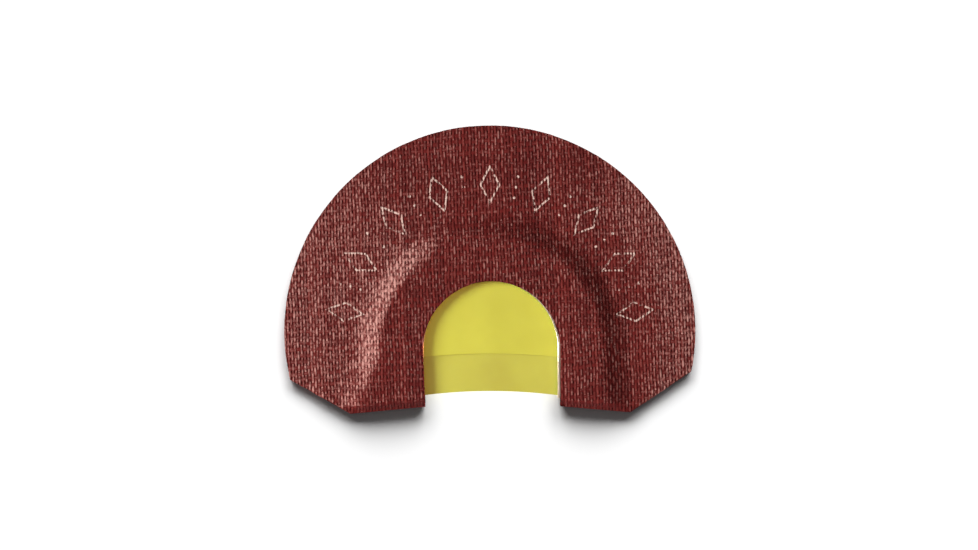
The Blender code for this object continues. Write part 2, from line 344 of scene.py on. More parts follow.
def trim(plan):
    """Moves plan points that lie outside the tape's outline back onto it."""
    points = plan.reshape(-1, 2).copy()
    radius = np.maximum(np.linalg.norm(points, axis=1), 1e-6)
    points *= np.minimum(1, TAPE_RADIUS / radius)[:, None]
    offset = points - ARCH_CENTRE
    radius = np.maximum(np.linalg.norm(offset, axis=1), 1e-6)
    opening = (offset[:, 1] >= 0) & (radius < TAPE_OPENING_RADIUS)
    points[opening] = ARCH_CENTRE + offset[opening] * (TAPE_OPENING_RADIUS / radius[opening])[:, None]
    for side in (LEFT, RIGHT):
        spring = ARCH_CENTRE + np.array((side * TAPE_OPENING_RADIUS, 0.0))
        corners = (leg_outer(side, CORNER_STATION), TAB_OUTER[side], TAB_INNER[side], spring)
        leg = (points[:, 1] < ARCH_CENTRE[1]) & (side * (points[:, 0] - ARCH_CENTRE[0]) > 0)
        for start, end in zip(corners, corners[1:]):
            edge = (end - start) / np.linalg.norm(end - start)
            outwards = side * np.array((-edge[1], edge[0]))
            past = np.maximum((points - start) @ outwards, 0) * leg
            points -= past[:, None] * outwards
    return points.reshape(plan.shape)


MOST_SKEW = 0.6


def best_match(run, runs):
    """The run that overlaps this one the most, with its ends kept near this one's."""
    overlap = [min(run[1], other[1]) - max(run[0], other[0]) for other in runs]
    if not overlap or max(overlap) <= 0:
        return run
    return np.clip(runs[int(np.argmax(overlap))], run - MOST_SKEW, run + MOST_SKEW)


# Threads


def leaning_axes(lean):
    """Unit vectors across the call and towards its rear, turned by the weave's lean."""
    return np.array((math.cos(lean), math.sin(lean))), np.array((-math.sin(lean), math.cos(lean)))


# The warp runs front to rear, close together. The weft runs across, with half as many threads.
WARP_ACROSS, WARP_ALONG = leaning_axes(math.radians(2.2))
WEFT_ALONG, WEFT_ACROSS = leaning_axes(math.radians(4.0))
WARP_PITCH = 0.346
WEFT_PITCH = 0.643
WEAVE = {
    "warp": {
        "along": WARP_ALONG,
        "across": WARP_ACROSS,
        "pitch": WARP_PITCH,
        "half_width": 0.40 * WARP_PITCH,
        "half_height": 0.036,
        "swing": 0.060,
        "crossed": "weft",
        "first_float": 0,
    },
    "weft": {
        "along": WEFT_ALONG,
        "across": WEFT_ACROSS,
        "pitch": WEFT_PITCH,
        "half_width": 0.34 * WEFT_PITCH,
        "half_height": 0.042,
        "swing": 0.022,
        "crossed": "warp",
        "first_float": 1,
    },
}

# How deep the threads' middles lie under the tape's outer face, the shortest piece of thread that is
# kept, more floats than any thread has, and how finely the tape's round edge cuts the threads.
WEAVE_DEPTH = 0.10
SHORTEST_RUN = 0.25
MOST_FLOATS = 400
OUTLINE_STEPS = 180

# How far threads stray: in place as shares of the pitch, in phase, and in width as shares of it.
STRAY_PLACE = 0.07
STRAY_PHASE = 0.45
WIDTH_SHARES = (0.86, 1.06)

# How much of a thread's crown is made paler halfway up its wave, and how much more at its top: partly
# rubbed wear, partly painted glint on the thread tops.
CROWN_SHARE = 0.75
CROWN_GAIN = 0.45

# Threads' sections, corner by corner: places across in half widths and heights in half heights.
WARP_SECTION = ((-1, 0.0), (-0.66, 0.70), (0, 1.0), (0.66, 0.70), (1, 0.0), (0, -0.8))
WEFT_SECTION = ((1, 0.0), (0.75, 0.7), (0, 1.0), (-0.75, 0.7), (-1, 0.0), (0, -0.8))
PLAIN_SECTION = ((-1, 0.0), (-0.5, 0.9), (0.5, 0.9), (1, 0.0))

# How much paler the cloth is made: everywhere (rubbed wear and painted glint on the thread crowns), on
# the skirts, on the ridge's flanks (painted highlight, strong on the left) and on the front bands (below
# 0: painted shade).
GENERAL_WEAR_AND_GLINT = 0.19
SKIRT_PALENESS = {LEFT: 0.35, RIGHT: 0.47}
FLANK_PAINTED_HIGHLIGHT = {LEFT: 1.14, RIGHT: 0.12}
FRONT_BAND_PAINTED_SHADE = -0.30


def weave_drift(points):
    """How far the weave wanders from a straight grid, as it does in loosely woven tape."""
    x, y = points[..., 0], points[..., 1]
    sideways = 0.03 * np.sin(0.9 * y + 0.35 * x + 1.3) + 0.02 * np.sin(2.1 * y - 1.3 * x)
    forwards = 0.06 * np.sin(0.8 * x + 0.5 * y) + 0.05 * np.sin(1.9 * x - 0.9 * y + 2.0)
    return np.stack((sideways, forwards), axis=-1)


def float_wave(phase, family):
    """A thread's rise and fall: warp threads float long on top and dip briefly under each weft."""
    wave = np.cos(phase)
    if family == "warp":
        wave = np.clip(1.5 * wave + 1.0, -1, 1)
        wave = wave * (1.5 - 0.5 * wave**2)
    return wave


def wear_and_painted_light_at(points):
    """How much paler the threads' crowns are made: a little everywhere, partly as rubbed wear and partly
    as painted glint; more towards the skirts at the sides; most on the ridge's left flank, a painted
    highlight where the slope faces the key light.

    It is below 0 on the bands that slope down to the legs' front edges, which is painted shade: those
    bands face away from the light.
    """
    slope, droop, front = ridge_shares(points)
    offset = points - ARCH_CENTRE
    sideways = np.abs(offset[:, 0]) / np.maximum(np.hypot(offset[:, 0], offset[:, 1]), 1e-6)
    sides = smooth_step((sideways - 0.25) / 0.6)
    on_left = offset[:, 0] < 0
    # The skirts at the sides are made paler, the left from the ridge's slope outwards and the right
    # towards its edge.
    left_skirt = SKIRT_PALENESS[LEFT] * smooth_step(slope)
    right_skirt = SKIRT_PALENESS[RIGHT] * smooth_step(droop / 0.8)
    skirt = np.where(on_left, left_skirt, right_skirt)
    # Painted highlight: the ridge's flank is made paler where its slope faces the key light, strongly on
    # the left.
    painted_flank_highlight = np.sin(math.pi * slope**0.6) ** 2
    painted_flank_highlight *= np.where(on_left, FLANK_PAINTED_HIGHLIGHT[LEFT], FLANK_PAINTED_HIGHLIGHT[RIGHT])
    painted_flank_highlight *= 1 - 0.6 * smooth_step(-offset[:, 1] / 3.0)
    rubbing_and_painted_highlight = GENERAL_WEAR_AND_GLINT + sides * (skirt + painted_flank_highlight)
    # Painted shade: the bands sloping down to the legs' front edges are set below 0, so their threads go
    # dark.
    painted_shade_band = smooth_step(front / 0.4)
    return rubbing_and_painted_highlight * (1 - painted_shade_band) + FRONT_BAND_PAINTED_SHADE * painted_shade_band


def cut_runs(origin, width, thread, outline):
    """Where a thread lies inside the outline: the ends of its middle line and of its two edges."""
    edges = []
    for s in (-1, 1):
        edges.append(crossings(origin + thread["across"] * width * s, thread["along"], outline))
    for run in crossings(origin, thread["along"], outline):
        if run[1] - run[0] >= SHORTEST_RUN:
            left, right = (best_match(run, runs) for runs in edges)
            yield run, left, right


def slanted_end(middle, left, right, sideways):
    """How far along a thread each place across it ends, so that the thread's end follows the cut."""
    return middle + np.where(sideways < 0, left - middle, right - middle) * np.abs(sideways)


def tube_faces(index):
    """The faces of one closed tube from its vertices' numbers, rings by sides."""
    following = np.roll(index, -1, axis=1)
    walls = np.stack((index[:-1], following[:-1], following[1:], index[1:]), axis=-1).reshape(-1, 4)
    return [walls, index[0, ::-1][None, :], index[-1][None, :]]


def make_threads(name, family, face, section, step, seed, material):
    """One family of the weave's threads as closed flat tubes, cut off at the tape's outline.

    step is the distance between a tube's rings, and seed makes its small irregularities.
    """
    thread = WEAVE[family]
    crossed = WEAVE[thread["crossed"]]
    inner, outer = cloth_columns(LEG_COLUMNS, OUTLINE_STEPS)
    outline = np.concatenate((outer, inner[::-1]))
    random = np.random.default_rng(seed)
    sideways, upright = np.array(section, float).T
    count = int(TAPE_RADIUS / thread["pitch"]) + 2
    vertices, faces = [], []
    looks = {"crown": [], "strand": [], "rub": [], "wear_and_painted_light": []}
    total = 0
    for number in range(-count, count + 1):
        origin = thread["across"] * (number + STRAY_PLACE * random.uniform(-1, 1)) * thread["pitch"]
        shift = random.uniform(-STRAY_PHASE, STRAY_PHASE)
        tone = random.uniform(0, 1)
        rubs = random.uniform(0, 1, MOST_FLOATS)
        width = thread["half_width"] * random.uniform(*WIDTH_SHARES)
        for run, left, right in cut_runs(origin, width, thread, outline):
            share = np.linspace(0, 1, max(int((run[1] - run[0]) / step), 2) + 1)[:, None]
            start = slanted_end(run[0], left[0], right[0], sideways)
            end = slanted_end(run[1], left[1], right[1], sideways)
            travel = start + share * (end - start)
            straight = origin + travel[..., None] * thread["along"]
            straight = straight + (width * sideways)[None, :, None] * thread["across"]
            floats = (straight @ crossed["across"]) / crossed["pitch"]
            wave = float_wave(math.pi * (floats + number + thread["first_float"]) + shift, family)
            plan = trim(straight + weave_drift(straight))
            surface = cloth_height(plan.reshape(-1, 2), face).reshape(wave.shape)
            rise = thread["swing"] * wave + thread["half_height"] * upright - WEAVE_DEPTH
            vertices.append(np.dstack((plan, surface + face["upwards"] * rise)).reshape(-1, 3))
            faces += tube_faces(total + np.arange(wave.size).reshape(wave.shape))
            total += wave.size
            lifted = np.clip(CROWN_SHARE + CROWN_GAIN * wave, 0, 1)
            looks["crown"].append((np.maximum(upright, 0) ** 2 * lifted).reshape(-1))
            looks["strand"].append(np.full(wave.size, tone))
            looks["rub"].append(rubs[np.rint(floats).astype(int) + MOST_FLOATS // 2].reshape(-1))
            looks["wear_and_painted_light"].append(wear_and_painted_light_at(plan.reshape(-1, 2)))
    all_faces = [corners for group in faces for corners in group]
    piece = new_piece(name, to_metres(np.concatenate(vertices)), all_faces, material)
    face_outwards(piece)
    for attribute, values in looks.items():
        set_attribute(piece, attribute, np.concatenate(values))
    piece.data.set_sharp_from_angle(angle=math.radians(40))
    return piece


# Frame


def horseshoe(inner, outer, arc_steps):
    """The frame's outline: an arch with straight legs cut parallel to the tape's front edges."""

    def leg_end(x):
        side = LEFT if x < 0 else RIGHT
        edge = TAB_OUTER[side] - TAB_INNER[side]
        return TAB_INNER[side][1] + (x - TAB_INNER[side][0]) / edge[0] * edge[1] + LEG_SETBACK

    angle = np.linspace(0, math.pi, arc_steps + 1)
    ray = np.stack((np.cos(angle), np.sin(angle)), axis=-1)
    left_x = FRAME_CENTRE[0] - outer, FRAME_CENTRE[0] - inner
    right_x = FRAME_CENTRE[0] + inner, FRAME_CENTRE[0] + outer
    return np.concatenate(
        (
            FRAME_CENTRE + ray * outer,
            [(x, leg_end(x)) for x in left_x],
            FRAME_CENTRE + ray[::-1] * inner,
            [(x, leg_end(x)) for x in right_x],
        )
    )


def shrink_outline(outline, distance):
    """An anticlockwise outline moved inwards by a distance, with mitred corners."""
    before = outline - np.roll(outline, 1, axis=0)
    after = np.roll(outline, -1, axis=0) - outline
    before /= np.linalg.norm(before, axis=1)[:, None]
    after /= np.linalg.norm(after, axis=1)[:, None]
    normal_before = np.stack((-before[:, 1], before[:, 0]), axis=-1)
    normal_after = np.stack((-after[:, 1], after[:, 0]), axis=-1)
    mitre = normal_before + normal_after
    mitre /= 1 + np.sum(normal_before * normal_after, axis=1)[:, None]
    return outline + mitre * distance


def rounded_plate(name, outline, z_low, material):
    """A flat plate whose sheared edges are slightly rounded. It is filled from leg to leg in strips."""
    thickness, rounding = PLATE_THICKNESS, SHEARED_EDGE_RADIUS
    turn = np.linspace(0, math.pi / 2, 4)
    z_high = z_low + thickness
    levels = [(rounding * (1 - math.cos(t)), z_high - rounding * (1 - math.sin(t))) for t in turn]
    levels = [(inset, 2 * z_low + thickness - z) for inset, z in reversed(levels)] + levels
    rings = []
    for inset, z in levels:
        rings.append(np.column_stack((shrink_outline(outline, inset), np.full(len(outline), z))))
    sides = len(outline)
    faces = []
    for ring in range(len(rings) - 1):
        for step in range(sides):
            follow = (step + 1) % sides
            base = ring * sides
            faces.append((base + step, base + follow, base + sides + follow, base + sides + step))
    half = sides // 2
    top = (len(rings) - 1) * sides
    for step in range(half - 1):
        a, b = step, step + 1
        c, d = sides - 2 - step, sides - 1 - step
        faces.append((top + a, top + b, top + c, top + d))
        faces.append((d, c, b, a))
    piece = new_piece(name, to_metres(np.concatenate(rings)), faces, material)
    face_outwards(piece)
    return piece


def make_strap(name, x, material):
    """One folded strap at the rear: a flat bar bent back over itself through half a turn."""
    middle_z = (LOWER_PLATE_Z + UPPER_PLATE_Z + PLATE_THICKNESS) / 2
    outer = (UPPER_PLATE_Z - LOWER_PLATE_Z + PLATE_THICKNESS) / 2 - STRAP_SINK
    inner = outer - STRAP_THICKNESS
    fold_y = FRAME_CENTRE[1] + STRAP_FOLD
    turn = np.linspace(-math.pi / 2, math.pi / 2, 13)
    bend = [(0.0, math.sin(t), math.cos(t)) for t in turn]
    spine = [(-STRAP_LEG, -1.0, 0.0), *bend, (-STRAP_LEG, 1.0, 0.0)]
    vertices, faces = [], []
    for back, upright, outwards in spine:
        for side, radius in ((-1, inner), (1, inner), (1, outer), (-1, outer)):
            y = fold_y + back + outwards * radius
            vertices.append((x + side * STRAP_WIDTH / 2, y, middle_z + upright * radius))
    for step in range(len(spine) - 1):
        for corner in range(4):
            follow = (corner + 1) % 4
            base = step * 4
            faces.append((base + corner, base + 4 + corner, base + 4 + follow, base + follow))
    faces += [(0, 1, 2, 3), tuple(len(vertices) - n for n in (1, 2, 3, 4))]
    piece = new_piece(name, to_metres(vertices), faces, material)
    face_outwards(piece)
    return piece


def make_frame(material):
    """The folded frame as one closed mesh: both plates and the two straps that join them."""
    outline = horseshoe(FRAME_INNER_RADIUS, FRAME_OUTER_RADIUS, 96)
    frame_sheet = rounded_plate("frame_sheet", outline, LOWER_PLATE_Z, material)
    others = [rounded_plate("upper_plate", outline, UPPER_PLATE_Z, material)]
    for side in (LEFT, RIGHT):
        others.append(make_strap(f"strap_{side + 1}", FRAME_CENTRE[0] + side * STRAP_OFFSET, material))
    for other in others:
        union = frame_sheet.modifiers.new(other.name, "BOOLEAN")
        union.operation = "UNION"
        union.solver = "EXACT"
        union.object = other
    bpy.context.view_layer.update()
    evaluated = frame_sheet.evaluated_get(bpy.context.evaluated_depsgraph_get())
    joined = bpy.data.meshes.new_from_object(evaluated)
    frame_sheet.modifiers.clear()
    frame_sheet.data = joined
    for other in others:
        bpy.data.objects.remove(other)
    joined.set_sharp_from_angle(angle=math.radians(35))
    return frame_sheet


# Reeds


REED_COLUMNS = 72
REED_ROWS = 48
ROW_CROWDING = 1.15
RIPPLE_HEIGHT = 0.012


def reed_edge_y(x, reed):
    """The free edge in plan. The stretch draws it back in the middle."""
    share = np.clip((x - FRAME_CENTRE[0]) / FRAME_INNER_RADIUS, -1, 1)
    return reed["middle"] + (reed["side"] - reed["middle"]) * share**2


def grip_share(plan):
    """0 where the frame holds a reed, rising to 1 along the middle of the opening."""
    offset = plan - FRAME_CENTRE
    behind = np.clip(offset[:, 1], 0, FRAME_INNER_RADIUS)
    half_width = np.sqrt(np.maximum(FRAME_INNER_RADIUS**2 - behind**2, 1e-6))
    free = 1 - np.clip(np.abs(offset[:, 0]) / half_width, 0, 1) ** 2
    return np.where(offset[:, 1] >= FRAME_INNER_RADIUS, 0.0, free)


def make_reed(name, reed, material):
    """A latex film gripped on three sides. Its free middle has a faint ripple and its margin lies flat.
    """
    column = np.sin(np.linspace(-1, 1, REED_COLUMNS + 1) * math.pi / 2)
    x = FRAME_CENTRE[0] + column * REED_MARGIN_RADIUS
    rear = FRAME_CENTRE[1] + np.sqrt(np.maximum(REED_MARGIN_RADIUS**2 - (x - FRAME_CENTRE[0]) ** 2, 0))
    front = reed_edge_y(x, reed)
    share = np.linspace(0, 1, REED_ROWS + 1)[:, None] ** ROW_CROWDING
    y = front + (rear - front) * share
    plan = np.dstack((np.broadcast_to(x, y.shape), y))
    free = grip_share(plan.reshape(-1, 2)).reshape(y.shape)
    x_wave = np.sin(1.9 * plan[..., 0] + 0.8 * plan[..., 1])
    ripple = RIPPLE_HEIGHT * x_wave * np.sin(0.7 * plan[..., 1])
    z = reed["z"] + free * ripple
    top = np.dstack((plan, z + REED_THICKNESS))
    bottom = np.dstack((plan, z))
    vertices, faces = grid_slab(top, bottom)
    piece = new_piece(name, to_metres(vertices), faces, material)
    face_outwards(piece)
    piece.data.set_sharp_from_angle(angle=math.radians(40))
    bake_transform(piece)
    return piece


# Materials


class Nodes:
    """Short calls for building one material's node tree. Values are numbers or node sockets."""

    def __init__(self, name):
        self.material = bpy.data.materials.new(name)
        self.material.use_nodes = True
        self.tree = self.material.node_tree
        self.shader = self.tree.nodes["Principled BSDF"]
        self.place = self.add("ShaderNodeTexCoord").outputs["Object"]

    def add(self, kind, **settings):
        node = self.tree.nodes.new(kind)
        for key, value in settings.items():
            setattr(node, key, value)
        return node

    def plug(self, socket, value):
        if isinstance(value, bpy.types.NodeSocket):
            self.tree.links.new(value, socket)
        else:
            socket.default_value = value

    def sums(self, operation, *values):
        node = self.add("ShaderNodeMath", operation=operation)
        for socket, value in zip(node.inputs, values):
            self.plug(socket, value)
        return node.outputs[0]

    def hypot(self, x, y):
        squares = self.sums("MULTIPLY", x, x), self.sums("MULTIPLY", y, y)
        return self.sums("SQRT", self.sums("ADD", *squares))

    def stroke(self, distance, half_width):
        """1 within half a width of a printed line and 0 off it, with a soft edge."""
        return self.ramp(distance, half_width + 0.05, half_width - 0.02)

    def ramp(self, value, low, high, out_low=0.0, out_high=1.0):
        node = self.add("ShaderNodeMapRange", interpolation_type="SMOOTHSTEP")
        for socket, setting in zip(node.inputs, (value, low, high, out_low, out_high)):
            self.plug(socket, setting)
        return node.outputs[0]

    def blend(self, factor, first, second):
        node = self.add("ShaderNodeMix", data_type="RGBA")
        self.plug(node.inputs["Factor"], factor)
        self.plug(node.inputs[6], first)
        self.plug(node.inputs[7], second)
        return node.outputs[2]

    def noise(self, scale, detail=3.0, stretch=(1.0, 1.0, 1.0)):
        """Noise whose scale is in cycles per millimetre."""
        mapping = self.add("ShaderNodeMapping")
        self.plug(mapping.inputs["Vector"], self.place)
        mapping.inputs["Scale"].default_value = [scale / MM * s for s in stretch]
        node = self.add("ShaderNodeTexNoise")
        node.inputs["Scale"].default_value = 1.0
        node.inputs["Detail"].default_value = detail
        self.plug(node.inputs["Vector"], mapping.outputs[0])
        return node.outputs["Fac"]

    def attribute(self, name):
        return self.add("ShaderNodeAttribute", attribute_name=name).outputs["Fac"]

    def bump(self, height, distance, strength=1.0):
        node = self.add("ShaderNodeBump")
        node.inputs["Distance"].default_value = distance * MM
        node.inputs["Strength"].default_value = strength
        self.plug(node.inputs["Height"], height)
        self.plug(self.shader.inputs["Normal"], node.outputs[0])

    def set(self, **values):
        for key, value in values.items():
            self.plug(self.shader.inputs[key.replace("_", " ")], value)


def colour(red, green, blue):
    return (red, green, blue, 1.0)


# The printed ring, in millimetres: the radius of its middle, its marks, and the sizes of each kind.
RING_RADIUS = 15.8
RING_START = math.radians(7.5)
RING_STEP = math.radians(10.3125)
RING_MARKS = 17
DIAMOND_HALF_WIDTH = 1.02
DIAMOND_HALF_HEIGHT = 1.95
DIAMOND_HALF_LINE = 0.08
DOT_PITCH = 1.15
DOT_RADIUS = 0.13
INK = colour(0.72, 0.52, 0.44)
INK_COVER = 0.85


def open_diamond(nodes, along, up):
    """1 on the outline of a diamond, from the distances to its middle along the ring and across it."""
    side_length = math.hypot(DIAMOND_HALF_WIDTH, DIAMOND_HALF_HEIGHT)
    slant = DIAMOND_HALF_WIDTH * DIAMOND_HALF_HEIGHT / side_length
    sideways = nodes.sums("DIVIDE", along, DIAMOND_HALF_WIDTH)
    upright = nodes.sums("DIVIDE", up, DIAMOND_HALF_HEIGHT)
    reach = nodes.sums("ADD", sideways, upright)
    from_line = nodes.sums("ABSOLUTE", nodes.sums("SUBTRACT", reach, 1.0))
    return nodes.stroke(nodes.sums("MULTIPLY", from_line, slant), DIAMOND_HALF_LINE)


def dot_row(nodes, along, out, up):
    """1 on three dots in a row across the ring."""
    cell = nodes.sums("ADD", nodes.sums("DIVIDE", out, DOT_PITCH), 0.5)
    nearest = nodes.sums("ABSOLUTE", nodes.sums("SUBTRACT", nodes.sums("FRACT", cell), 0.5))
    nearest = nodes.sums("MULTIPLY", nearest, DOT_PITCH)
    dots = nodes.stroke(nodes.hypot(nearest, along), DOT_RADIUS)
    return nodes.sums("MULTIPLY", dots, nodes.sums("LESS_THAN", up, 1.6 * DOT_PITCH))


def ring_marks(nodes):
    """A ring of printed open diamonds with rows of dots between them, 1 on the ink and 0 off it."""
    apart = nodes.add("ShaderNodeSeparateXYZ")
    nodes.plug(apart.inputs[0], nodes.place)
    x = nodes.sums("DIVIDE", apart.outputs[0], MM)
    y = nodes.sums("SUBTRACT", nodes.sums("DIVIDE", apart.outputs[1], MM), DISC_CENTRE_Y)
    turned = nodes.sums("SUBTRACT", nodes.sums("ARCTAN2", y, x), RING_START)
    cell = nodes.sums("ADD", nodes.sums("DIVIDE", turned, RING_STEP), 0.5)
    number = nodes.sums("FLOOR", cell)
    after_first = nodes.sums("GREATER_THAN", cell, 0.0)
    before_last = nodes.sums("LESS_THAN", cell, float(RING_MARKS))
    inside = nodes.sums("MULTIPLY", after_first, before_last)
    along = nodes.sums("SUBTRACT", nodes.sums("FRACT", cell), 0.5)
    along = nodes.sums("ABSOLUTE", nodes.sums("MULTIPLY", along, RING_STEP * RING_RADIUS))
    out = nodes.sums("SUBTRACT", nodes.hypot(x, y), RING_RADIUS)
    up = nodes.sums("ABSOLUTE", out)
    odd = nodes.sums("MODULO", number, 2.0)
    dots = nodes.sums("MULTIPLY", dot_row(nodes, along, out, up), odd)
    diamonds = nodes.sums("MULTIPLY", open_diamond(nodes, along, up), nodes.sums("SUBTRACT", 1.0, odd))
    return nodes.sums("MULTIPLY", nodes.sums("ADD", dots, diamonds), inside)


def thread_material(name, dark, light, worn_and_glint, wear_and_glint, roughness, gloss):
    """Dyed cotton thread of varying tone. Its crowns are made paler, partly as rubbed wear and partly as
    painted glint, with a painted highlight on the ridge's left flank; the front bands blend to dark as
    painted shade. The crowns carry the printed ring.
    """
    nodes = Nodes(name)
    crown = nodes.attribute("crown")
    strand = nodes.attribute("strand")
    rub = nodes.attribute("rub")
    blotch = nodes.noise(0.22, 2.0)
    fleck = nodes.noise(3.0, 2.0, (1.0, 0.8, 1.0))
    fibre = nodes.noise(9.0, 3.0, (1.0, 0.35, 1.0))
    tone = nodes.sums("ADD", nodes.sums("MULTIPLY", strand, 0.45), nodes.sums("MULTIPLY", fleck, 0.55))
    base = nodes.blend(nodes.ramp(tone, 0.2, 0.8), dark, light)
    wear_and_painted_light = nodes.attribute("wear_and_painted_light")
    # Painted shade: where the attribute is below 0, on the front bands, the tone blends towards dark.
    base = nodes.blend(nodes.ramp(wear_and_painted_light, FRONT_BAND_PAINTED_SHADE, 0.0, 0.7, 0.0), base, dark)
    # Crowns blend towards the pale tone: partly rubbed wear, partly painted glint, and painted highlight
    # on the left flank.
    reach = nodes.sums("MULTIPLY", crown, nodes.sums("MULTIPLY_ADD", rub, 0.7, 0.35))
    reach = nodes.sums("MULTIPLY_ADD", wear_and_painted_light, 0.55, reach)
    rubbed_and_glint = nodes.ramp(reach, 0.45, 1.0)
    rubbed_and_glint = nodes.sums("MULTIPLY", rubbed_and_glint, nodes.ramp(wear_and_painted_light, 0.0, 1.0, 0.45, 1.0))
    rubbed_and_glint = nodes.sums("MULTIPLY", rubbed_and_glint, nodes.ramp(fleck, 0.38, 0.6, 0.20, 1.30))
    rubbed_and_glint = nodes.sums("MULTIPLY", rubbed_and_glint, nodes.ramp(blotch, 0.3, 0.7, 0.8 * wear_and_glint, wear_and_glint))
    base = nodes.blend(rubbed_and_glint, base, worn_and_glint)
    skips = nodes.ramp(nodes.noise(1.7, 2.0), 0.36, 0.52)
    ink = nodes.sums("MULTIPLY", ring_marks(nodes), nodes.ramp(crown, 0.15, 0.6))
    ink = nodes.sums("MULTIPLY", ink, nodes.sums("MULTIPLY", skips, INK_COVER))
    base = nodes.blend(ink, base, INK)
    nodes.set(Base_Color=base)
    nodes.set(Roughness=nodes.ramp(fibre, 0.3, 0.7, roughness - 0.05, roughness + 0.08))
    nodes.shader.inputs["IOR"].default_value = 1.5
    nodes.shader.inputs["Specular IOR Level"].default_value = gloss
    nodes.shader.inputs["Specular Tint"].default_value = colour(1.0, 0.60, 0.50)
    nodes.bump(fibre, 0.004, 0.6)
    return nodes.material


def backing_material(name):
    """The dark base between the threads, with a slightly fuzzy, sticky grain."""
    nodes = Nodes(name)
    grain = nodes.noise(4.0, 4.0)
    dark, light = colour(0.065, 0.007, 0.007), colour(0.110, 0.012, 0.011)
    nodes.set(Base_Color=nodes.blend(nodes.ramp(grain, 0.3, 0.7), dark, light))
    nodes.set(Roughness=nodes.ramp(grain, 0.3, 0.7, 0.80, 0.92))
    nodes.shader.inputs["Specular IOR Level"].default_value = 0.1
    nodes.bump(grain, 0.03, 0.5)
    return nodes.material


def latex_material(name, light, deep, alpha):
    """Thin yellow latex: satin, a little see-through, with faint clouds where the film is thicker."""
    nodes = Nodes(name)
    cloud = nodes.noise(0.16, 3.0)
    grain = nodes.noise(5.0, 3.0)
    nodes.set(Base_Color=nodes.blend(nodes.ramp(cloud, 0.3, 0.72), light, deep))
    nodes.set(Roughness=nodes.ramp(grain, 0.3, 0.7, 0.40, 0.52))
    nodes.shader.inputs["Alpha"].default_value = alpha
    nodes.shader.inputs["Subsurface Weight"].default_value = 0.25
    nodes.shader.inputs["Subsurface Radius"].default_value = (1.0, 0.8, 0.2)
    nodes.shader.inputs["Subsurface Scale"].default_value = 0.3 * MM
    nodes.shader.inputs["IOR"].default_value = 1.52
    nodes.bump(grain, 0.004, 0.5)
    return nodes.material


def aluminium_material(name):
    """Stamped aluminium sheet: satin, with fine rolling lines and scuffs. Its cream-yellow tint is a
    painted reflection of the yellow reeds.
    """
    nodes = Nodes(name)
    rolled = nodes.noise(6.0, 4.0, (1.0, 0.06, 1.0))
    scuff = nodes.noise(1.2, 4.0)
    # Both tones are tinted cream-yellow: a painted reflection of the yellow reeds.
    bright, dull = colour(0.94, 0.79, 0.60), colour(0.85, 0.71, 0.55)
    nodes.set(Base_Color=nodes.blend(nodes.ramp(scuff, 0.35, 0.7), bright, dull))
    nodes.set(Roughness=nodes.ramp(rolled, 0.3, 0.7, 0.26, 0.44))
    nodes.shader.inputs["Metallic"].default_value = 1.0
    nodes.bump(rolled, 0.01, 0.4)
    return nodes.material


def floor_material():
    """Matt white, with a barely visible change of tone."""
    nodes = Nodes("pale_floor")
    grain = nodes.noise(0.004, 2.0)
    nodes.set(Base_Color=nodes.blend(grain, colour(0.90, 0.90, 0.90), colour(0.92, 0.92, 0.92)))
    nodes.shader.inputs["Roughness"].default_value = 0.9
    nodes.shader.inputs["Specular IOR Level"].default_value = 0.0
    return nodes.material


# Stage


def make_light(name, kind, location, energy, **settings):
    """A light aimed at the middle of the call."""
    data = bpy.data.lights.new(name, kind)
    data.energy = energy
    for key, value in settings.items():
        setattr(data, key, value)
    light = bpy.data.objects.new(name, data)
    bpy.context.scene.collection.objects.link(light)
    light.location = location
    light.rotation_euler = (-Vector(location)).to_track_quat("-Z", "Y").to_euler()
    return light


def from_angles(azimuth, elevation, distance):
    """A place in metres, from its angles in degrees round and above the call."""
    a, e = math.radians(azimuth), math.radians(elevation)
    flat = distance * math.cos(e)
    return (flat * math.cos(a), flat * math.sin(a), distance * math.sin(e))


def collection_of(name, objects):
    """A collection that light linking can point at. It isn't part of the scene."""
    group = bpy.data.collections.new(name)
    for one in objects:
        group.objects.link(one)
    return group


def lit_only(light, name, objects):
    """Limits what a light falls on. What casts its shadows stays as it is."""
    light.light_linking.receiver_collection = collection_of(name, objects)


# The floor reaches this many metres each way. It lies just under the call, so that they don't touch.
FLOOR_REACH = 6.0
FLOOR_Z = -0.02

# Where the lights stand, as degrees round and above the call and metres from it, and their power in
# watts, or for the rear lights and the bounce, which are suns, in watts per square metre.
CLOTH_KEY_PLACE = (195, 32, 0.8)
CLOTH_KEY_POWER = 10.6
REED_KEY_PLACE = (173, 33, 0.8)
REED_KEY_POWER = 12.2
ABOVE_HEIGHT = 1.2
ABOVE_POWER = 8.8
REAR_AZIMUTHS = (65, 90, 115)
REAR_ELEVATION = 28
REAR_POWER = 2.5
REAR_SPREAD = math.radians(38)
BOUNCE_PLACE = (0, 60, 1.0)
BOUNCE_POWER = 1.3
BOUNCE_SPREAD = math.radians(30)
BOUNCE_COLOUR = (1.0, 0.38, 0.15)

# How bright the studio is where it lights things, and where the camera sees it.
STUDIO_LIGHT = 0.08
STUDIO_BACKDROP = 1.05


def make_floor():
    reach = FLOOR_REACH
    corners = [(-reach, -reach, 0), (reach, -reach, 0), (reach, reach, 0), (-reach, reach, 0)]
    floor = new_piece("floor", corners, [(0, 1, 2, 3)], floor_material(), smooth=False)
    floor.location.z = FLOOR_Z * MM
    return floor


